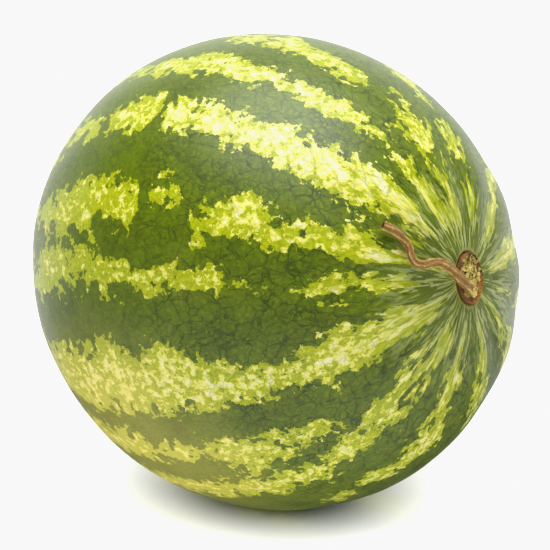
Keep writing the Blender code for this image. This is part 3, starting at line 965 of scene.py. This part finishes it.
def grow_scar(fruit):
    """The corky scar with its torn middle, in place of its solid."""
    tip = fruit.half_width * fruit.length_ratio
    bottom = tip - fruit.pocket_depth + 0.3 * MM
    level = bottom + fruit.scar_thickness
    sides, rings = 200, 90
    bm = bmesh.new()
    marks = []

    def corner(share, turn):
        radius = share / math.hypot(math.cos(turn) / fruit.scar_height, math.sin(turn) / fruit.scar_width)
        y, z = -radius * math.sin(turn), radius * math.cos(turn)
        height, *shares = scar_relief(y / MM, z / MM, share, turn)
        marks.append(shares)
        edge = 1 - fade(share, 0.955, 1.0)
        return bm.verts.new((bottom + (level - bottom + height * MM) * edge, y + fruit.scar_aside, z))

    middle = corner(0.0, 0.0)
    turns = [2 * math.pi * k / sides for k in range(sides)]
    rows = [[corner((i / rings) ** 0.8, turn) for turn in turns] for i in range(1, rings + 1)]
    for k in range(sides):
        after = (k + 1) % sides
        bm.faces.new((middle, rows[0][k], rows[0][after]))
        for inner, outer in zip(rows, rows[1:]):
            bm.faces.new((inner[k], outer[k], outer[after], inner[after]))
    bm.faces.new(reversed(rows[-1]))
    bmesh.ops.recalc_face_normals(bm, faces=bm.faces)
    for face in bm.faces:
        face.smooth = True
    bmesh.ops.triangulate(bm, faces=[face for face in bm.faces if len(face.verts) > 4])
    mesh = bpy.data.meshes.new("scar")
    bm.to_mesh(mesh)
    bm.free()
    for name, values in zip(("torn", "pit", "plate", "warm"), zip(*marks)):
        store(mesh, name, values)
    mesh.materials.append(scar_material())
    mesh.transform(resting_place(fruit))
    return finish_piece("scar", mesh, "cork", "stem_scar")


def lay_floor(look):
    """A plain pale floor that gives no mirror image of itself in the fruit's shine."""
    mesh = bpy.data.meshes.new("floor")
    bm = bmesh.new()
    bmesh.ops.create_grid(bm, x_segments=1, y_segments=1, size=8)
    bm.to_mesh(mesh)
    bm.free()
    floor = bpy.data.objects.new("floor", mesh)
    bpy.context.scene.collection.objects.link(floor)
    mesh.materials.append(floor_material(look))
    floor.visible_glossy = False
    return floor


def floor_material(look):
    """Matt paper floor, rolled out: an even, shineless white, which the eye takes for a plain studio."""
    material, tree, shader = new_material("matt_floor", Roughness=0.9, Specular_IOR_Level=0.0)
    shader.inputs["Base Color"].default_value = look.floor
    return material


def broad_light(name, strength, spread, towards, receivers):
    """A distant round light of this width, seen from the fruit in this direction, that only some
    things take."""
    lamp = bpy.data.lights.new(name, "SUN")
    lamp.angle = spread
    lamp.energy = strength
    light = bpy.data.objects.new(name, lamp)
    light.rotation_euler = towards.to_track_quat("Z", "Y").to_euler()
    light.light_linking.receiver_collection = receivers
    bpy.context.scene.collection.objects.link(light)


def light_up(look, floor, back, right):
    """One broad light over the fruit, and six around the floor, which is lit apart from the fruit so
    that it comes out white without paling the rind."""
    only_floor = bpy.data.collections.new("only_floor")
    only_floor.objects.link(floor)
    only_fruit = bpy.data.collections.new("only_fruit")
    for piece in bpy.context.scene.objects:
        if piece.type == "MESH" and piece is not floor:
            only_fruit.objects.link(piece)
    # almost straight down, and leaning a little to the camera's side
    broad_light("overhead", look.overhead, look.spread, Vector((0, 0, 13)) + back, only_fruit)
    ahead = Vector((back.x, back.y, 0)).normalized()
    for step in range(6):
        turn = step * math.pi / 3
        towards = ahead * math.cos(turn) + right * math.sin(turn) + Vector((0, 0, 1))
        # those on the camera's side are stronger, and brighten the floor in front of the fruit
        strength = look.floor_light * (1 + 3.2 * max(0, math.cos(turn)) ** 2)
        broad_light(f"floor_light_{step + 1}", strength, math.radians(50), towards, only_floor)


def place_camera(aim, back):
    """The camera, one metre back from what it looks at."""
    view = bpy.data.cameras.new("camera")
    view.sensor_width = 36
    view.lens = 124.6
    view.clip_start = 0.01
    camera = bpy.data.objects.new("camera", view)
    camera.location = aim + back
    camera.rotation_euler = (-back).to_track_quat("-Z", "Y").to_euler()
    bpy.context.scene.collection.objects.link(camera)
    bpy.context.scene.camera = camera


def hold_paper_white(film):
    """Holds paper white just under full white, where a brighter floor stays too."""
    film.view_transform = "Standard"
    film.use_curve_mapping = True
    curve = film.curve_mapping.curves[3]
    curve.points[1].location = (PAPER_WHITE, PAPER_WHITE)
    curve.points.new(1.0, PAPER_WHITE)
    for point in curve.points:
        point.handle_type = "VECTOR"
    film.curve_mapping.extend = "HORIZONTAL"
    film.curve_mapping.update()


def build_stage(look):
    """A plain pale floor, soft light and the camera."""
    scene = bpy.context.scene
    back = Vector((
        math.sin(look.azimuth) * math.cos(look.elevation),
        -math.cos(look.azimuth) * math.cos(look.elevation),
        math.sin(look.elevation),
    ))
    right = Vector((math.cos(look.azimuth), math.sin(look.azimuth), 0))
    floor = lay_floor(look)
    build_room(look, back)
    light_up(look, floor, back, right)
    middle = resting_place(scene.watermelon.fruit).translation
    place_camera(middle + right * 1.3 * MM - back.cross(right) * 1.05 * MM, back)
    hold_paper_white(scene.view_settings)


class WATERMELON_OT_rind(bpy.types.Operator):
    """Grow the striped fruit"""

    bl_idname = "watermelon.rind"
    bl_label = "Grow rind"

    def execute(self, context):
        settings = context.scene.watermelon
        grow_rind(settings.fruit, settings.rind)
        return {"FINISHED"}


class WATERMELON_OT_scar(bpy.types.Operator):
    """Heal the corky scar at the stem end"""

    bl_idname = "watermelon.scar"
    bl_label = "Add stem scar"

    def execute(self, context):
        grow_scar(context.scene.watermelon.fruit)
        return {"FINISHED"}


class WATERMELON_OT_stem(bpy.types.Operator):
    """Grow the dried stem"""

    bl_idname = "watermelon.stem"
    bl_label = "Add dried stem"

    def execute(self, context):
        settings = context.scene.watermelon
        grow_stem(settings.fruit, settings.stem)
        return {"FINISHED"}


class WATERMELON_OT_stage(bpy.types.Operator):
    """Set up the floor, light and camera"""

    bl_idname = "watermelon.stage"
    bl_label = "Set stage"

    def execute(self, context):
        build_stage(context.scene.watermelon.stage)
        return {"FINISHED"}


class WATERMELON_PT_panel(bpy.types.Panel):
    """Lists the steps that build the watermelon"""

    bl_idname = "WATERMELON_PT_panel"
    bl_label = "Watermelon"
    bl_space_type = "VIEW_3D"
    bl_region_type = "UI"
    bl_category = "Watermelon"

    def draw(self, context):
        for step in STEPS:
            self.layout.operator(step.bl_idname)


STEPS = (WATERMELON_OT_rind, WATERMELON_OT_scar, WATERMELON_OT_stem, WATERMELON_OT_stage)
CLASSES = (FruitShape, RindLook, StemLook, StageLook, WatermelonSettings, *STEPS, WATERMELON_PT_panel)


def register():
    for kind in CLASSES:
        bpy.utils.register_class(kind)
    bpy.types.Scene.watermelon = PointerProperty(type=WatermelonSettings)


def unregister():
    del bpy.types.Scene.watermelon
    for kind in reversed(CLASSES):
        bpy.utils.unregister_class(kind)


def main():
    register()
    bpy.ops.watermelon.rind()
    bpy.ops.watermelon.scar()
    bpy.ops.watermelon.stem()
    bpy.ops.watermelon.stage()


if __name__ == "__main__":
    main()
